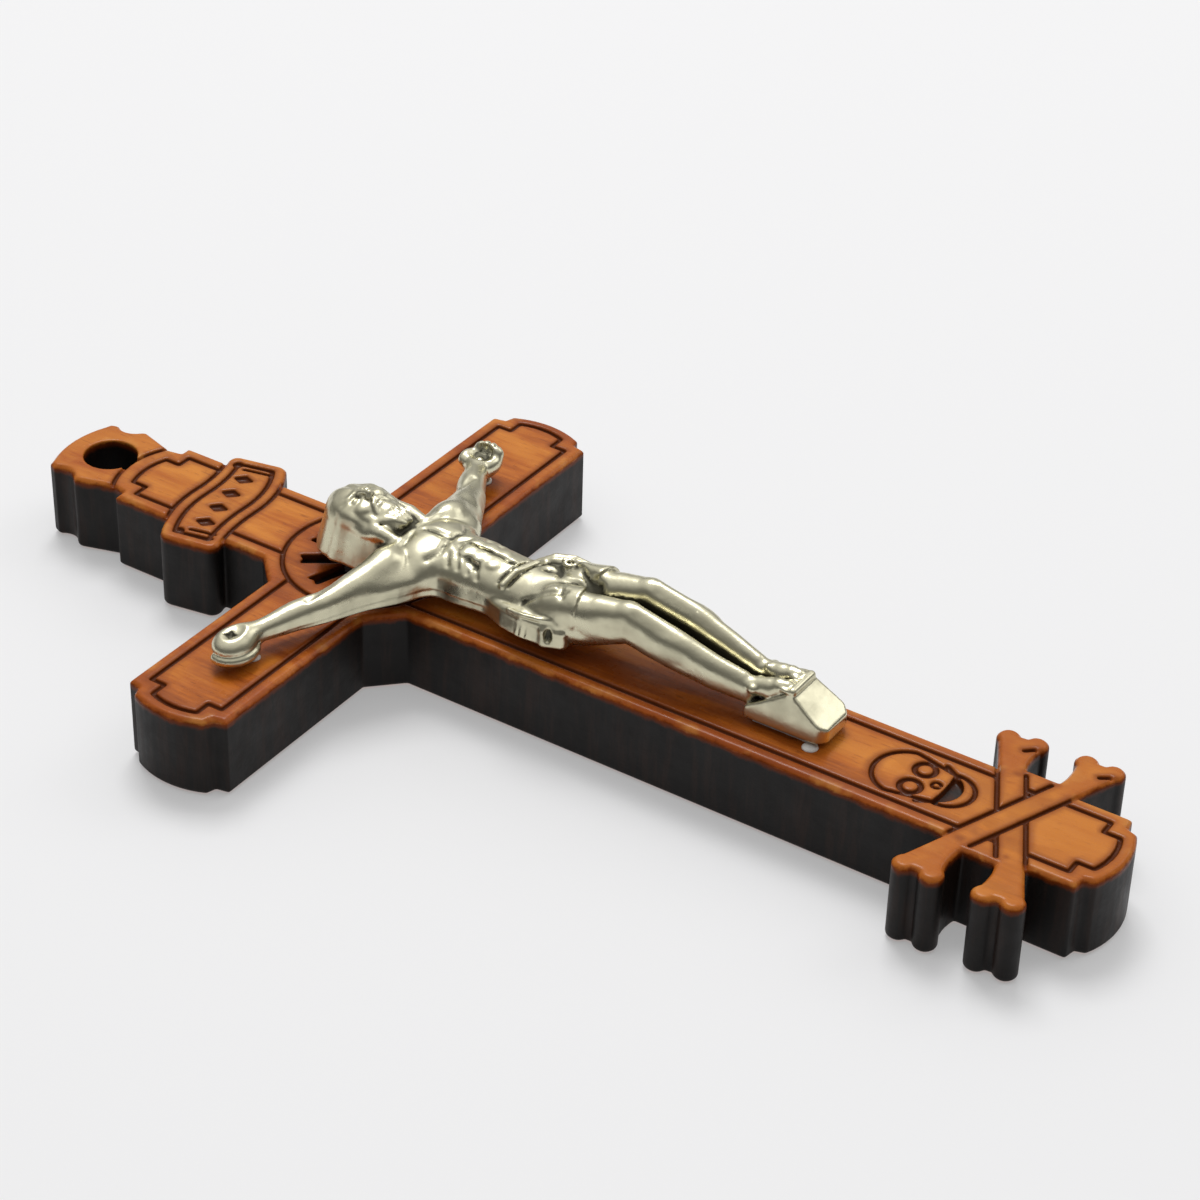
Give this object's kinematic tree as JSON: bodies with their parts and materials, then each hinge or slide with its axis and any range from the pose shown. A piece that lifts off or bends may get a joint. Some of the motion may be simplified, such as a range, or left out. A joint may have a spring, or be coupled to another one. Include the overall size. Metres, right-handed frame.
{
  "type": "crucifix",
  "caption": "Small wall crucifix: a flat carved wooden cross with a hanging hole, and a cast metal figure glued to its face.",
  "frame": {"origin": "middle of the part's box on the board's back face, as it lies on its back", "axes": "+Y along the shaft towards the hanging hole, +Z out of the carved face"},
  "size_m": [0.068, 0.1298, 0.018],
  "materials": {
    "wood": "satin",
    "cast_metal": "polished",
    "glue": "gloss"
  },
  "bodies": {
    "root": {"cross_board": "wood", "corpus": "cast_metal", "glue_near_hand": "glue", "glue_far_hand": "glue", "glue_foot": "glue"}
  },
  "joints": []
}
